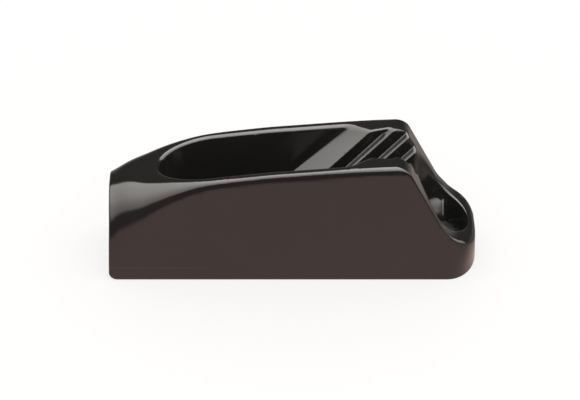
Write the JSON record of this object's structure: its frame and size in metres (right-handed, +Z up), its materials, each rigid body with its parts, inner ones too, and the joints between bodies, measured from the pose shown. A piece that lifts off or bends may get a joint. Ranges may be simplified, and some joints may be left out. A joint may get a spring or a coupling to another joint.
{
  "type": "rope jam cleat",
  "caption": "Slim rope jam cleat: ribbed vee groove with an open pocket ahead of it, a fairlead bore through the rounded nose, and a screw-down flat base.",
  "frame": {"origin": "centre of the flat mounting face, on the symmetry plane, midway between the nose and the toe", "axes": "+X from the fairlead nose to the tail, +Y across the cleat, +Z up from the mounting face"},
  "size_m": [0.082, 0.021, 0.0423],
  "materials": {
    "moulded_body": "glossy black moulding",
    "screws": "blackened stainless steel"
  },
  "bodies": {
    "root": {"cleat_body": "moulded_body", "fixing_screws": "screws"}
  },
  "joints": []
}
